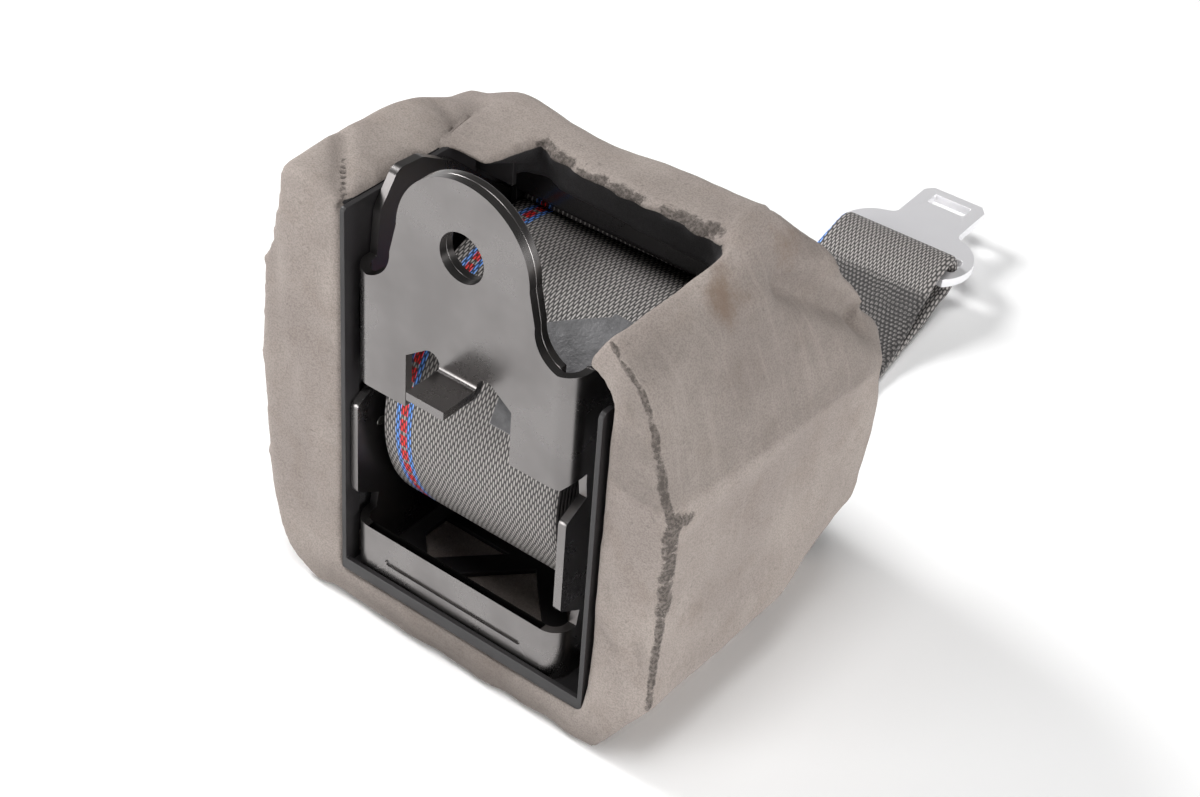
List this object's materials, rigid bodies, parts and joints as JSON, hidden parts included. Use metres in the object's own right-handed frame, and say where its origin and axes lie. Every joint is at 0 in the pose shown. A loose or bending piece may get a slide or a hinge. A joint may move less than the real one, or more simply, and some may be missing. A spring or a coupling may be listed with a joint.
{
  "type": "seat belt retractor",
  "caption": "Seat belt retractor: steel channel frame with anchor head, webbing on a sprung, inertia-locked spool, moulded foam cover, and a folded strap end with a latch tongue.",
  "frame": {"origin": "centre of the anchor bolt hole, on the front (mounting) face of the frame", "axes": "-Y points out of the mounting face, +Z runs from the spool to the anchor head, +X runs along the spool axis towards the locking mechanism"},
  "size_m": [0.11, 0.2351, 0.1249],
  "materials": {
    "black_steel": "satin",
    "zinc_steel": "satin",
    "spring_steel": "satin",
    "bright_steel": "polished",
    "cast_zinc": "satin",
    "black_gloss": "gloss",
    "black_matte": "matte",
    "grey_plastic": "satin",
    "natural_plastic": "satin",
    "foam": "matte",
    "webbing": "matte"
  },
  "bodies": {
    "housing": {"frame": "black_steel", "anchor_plate": "black_steel", "head_backing_plate": "black_steel", "webbing_guard": "grey_plastic", "webbing_guide": "black_gloss", "inner_shell": "black_matte", "foam_cover": "foam", "left_bush": "natural_plastic", "right_bush": "natural_plastic", "spring_cup": "black_matte", "spring_cover": "black_matte", "clock_spring": "spring_steel", "spring_screws": "zinc_steel", "mechanism_cover": "grey_plastic", "mechanism_screws": "zinc_steel", "sensor_bracket": "natural_plastic", "pawl_pin": "zinc_steel", "webbing_strap": "webbing"},
    "spool": {"spool_core": "cast_zinc", "webbing_pin": "zinc_steel", "webbing_roll": "webbing", "spool_shaft": "zinc_steel", "spring_arbor": "natural_plastic", "ratchet_wheel": "zinc_steel"},
    "pilot": {"pilot_wheel": "natural_plastic", "inertia_disc": "cast_zinc"},
    "pawl": {"locking_pawl": "zinc_steel"},
    "lever": {"sensor_lever": "natural_plastic"},
    "ball": {"sensor_ball": "bright_steel"},
    "latch_tongue": {"tongue": "bright_steel"}
  },
  "joints": [
    {"name": "spool_spin", "type": "hinge", "parent": "housing", "child": "spool", "pos_m": [0, 0.041, -0.0565], "axis": [-1, 0, 0], "continuous": true},
    {"name": "pilot_lag", "type": "hinge", "parent": "spool", "child": "pilot", "pos_m": [0, 0.041, -0.0565], "axis": [1, 0, 0], "range_deg": [0, 20]},
    {"name": "pawl_swing", "type": "hinge", "parent": "housing", "child": "pawl", "pos_m": [0.0327, 0.061, -0.083], "axis": [1, 0, 0], "range_deg": [0, 14]},
    {"name": "sensor_ball_roll", "type": "slide", "parent": "housing", "child": "ball", "axis": [0, 0.866, 0.5], "range_m": [0, 0.003]},
    {"name": "sensor_lever_tilt", "type": "hinge", "parent": "housing", "child": "lever", "pos_m": [0.038, 0.014, -0.0784], "axis": [1, 0, 0], "range_deg": [0, 8]},
    {"name": "tongue_swing", "type": "hinge", "parent": "housing", "child": "latch_tongue", "pos_m": [-0.00514, 0.18825, -0.0971], "axis": [0.9994, 0.0349, 0], "range_deg": [0, 100]}
  ],
  "couplings": [
    {"joint": "sensor_lever_tilt", "follows": "sensor_ball_roll", "rad_per_m": 46.54}
  ]
}
